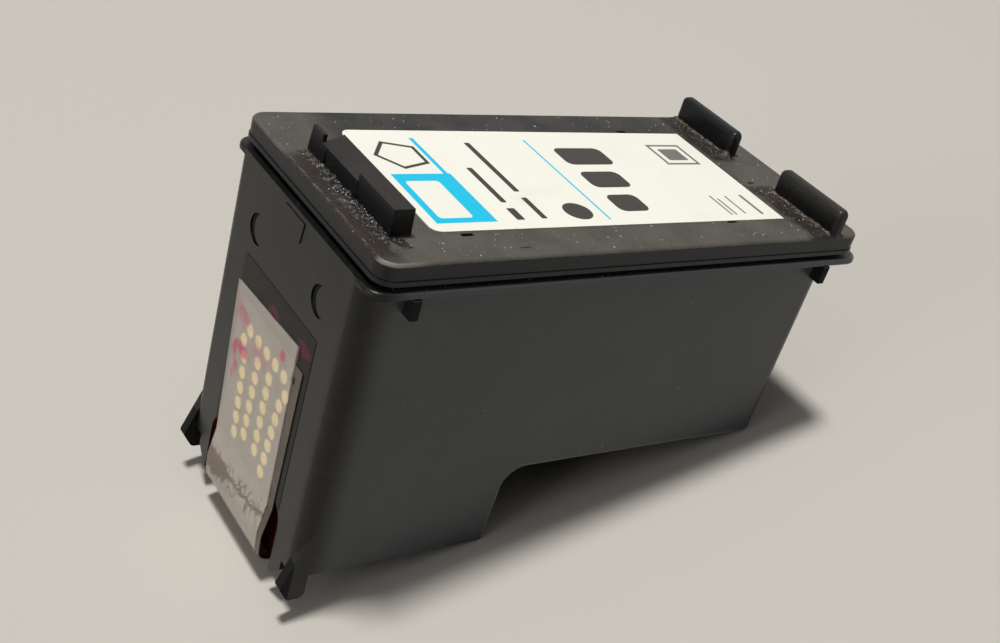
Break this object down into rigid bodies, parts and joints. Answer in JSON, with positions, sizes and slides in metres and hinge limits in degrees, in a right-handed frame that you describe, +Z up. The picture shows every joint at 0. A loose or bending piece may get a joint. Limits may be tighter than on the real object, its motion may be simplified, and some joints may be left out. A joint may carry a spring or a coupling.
{
  "type": "inkjet ink cartridge",
  "caption": "Inkjet ink cartridge: dark moulded case with a deep print-head snout, flanged lid with latch and fins, label, and a taped contact film round the snout.",
  "frame": {"origin": "bottom centre of the bounding box, on the surface that the cartridge rests on", "axes": "+Z up; +X from the wall with the contacts to the rear; +Y across the width. The cartridge lies tipped back by 14.2 degrees, on the lower rear edges of its snout and case."},
  "size_m": [0.0832, 0.0346, 0.0508],
  "materials": {
    "case_plastic": "satin, dusty",
    "lid_plastic": "matt, dusty",
    "label_film": "printed film",
    "ink_foam": "open-celled foam soaked with ink",
    "steel_mesh": "woven mesh",
    "bond_film": "dark adhesive film",
    "polyimide": "brown translucent film",
    "gold": "gold plated",
    "tape_film": "pale translucent film",
    "silicon": "polished silicon",
    "epoxy": "cured glue",
    "nozzle_metal": "plated foil",
    "sealant": "cured bead"
  },
  "bodies": {
    "root": {"case": "case_plastic", "lid": "lid_plastic", "label": "label_film", "foam": "ink_foam", "filter_screen": "steel_mesh", "circuit_bond": "bond_film", "flex_film": "polyimide", "contact_pads": "gold", "tape": "tape_film", "die": "silicon", "die_glue": "epoxy", "nozzle_plate": "nozzle_metal", "sealant_front": "sealant", "sealant_rear": "sealant"}
  },
  "joints": []
}
